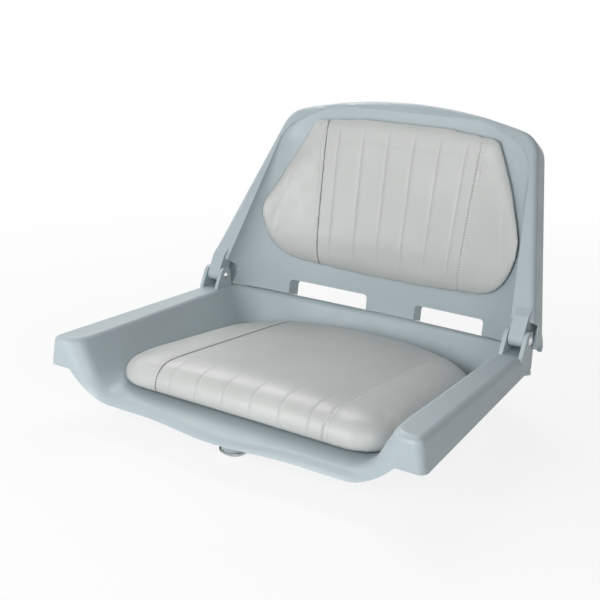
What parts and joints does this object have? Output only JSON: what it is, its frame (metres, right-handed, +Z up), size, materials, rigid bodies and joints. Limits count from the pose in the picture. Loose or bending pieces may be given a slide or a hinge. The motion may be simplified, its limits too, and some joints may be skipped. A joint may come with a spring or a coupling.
{
  "type": "folding boat seat",
  "caption": "Moulded bucket seat with low side arms and vinyl cushions, whose dished back turns on hinge pins and folds forward over the arms.",
  "frame": {"origin": "middle of the mounting bolts, on the plane the bosses and the front foot rest on", "axes": "+Z up, the sitter faces -Y, X across the seat"},
  "size_m": [0.509, 0.4559, 0.3615],
  "materials": {
    "shell_plastic": "satin moulded",
    "cover_vinyl": "soft grained vinyl",
    "foam": "open-cell foam",
    "board_wood": "plain board",
    "pin_steel": "plated",
    "fastener_steel": "plated",
    "foot_metal": "plain pressed metal",
    "insert_brass": "machined"
  },
  "bodies": {
    "seat": {"seat_shell": "shell_plastic", "mount_inserts": "insert_brass", "front_foot_glide": "foot_metal", "seat_board": "board_wood", "seat_foam": "foam", "seat_cover_center_panel": "cover_vinyl", "seat_cover_left_panel": "cover_vinyl", "seat_cover_right_panel": "cover_vinyl", "seat_cover_staples": "fastener_steel", "seat_cushion_screws": "fastener_steel", "left_hinge_pin": "pin_steel", "right_hinge_pin": "pin_steel", "left_pin_cap": "pin_steel", "right_pin_cap": "pin_steel", "hinge_washers": "pin_steel"},
    "back": {"back_shell": "shell_plastic", "back_board": "board_wood", "back_foam": "foam", "back_cover_center_panel": "cover_vinyl", "back_cover_left_panel": "cover_vinyl", "back_cover_right_panel": "cover_vinyl", "back_cover_staples": "fastener_steel", "back_cushion_screws": "fastener_steel"}
  },
  "joints": [
    {"name": "back_fold", "type": "hinge", "parent": "seat", "child": "back", "pos_m": [0, 0.048, 0.1162], "axis": [1, 0, 0], "range_deg": [0, 118]}
  ]
}
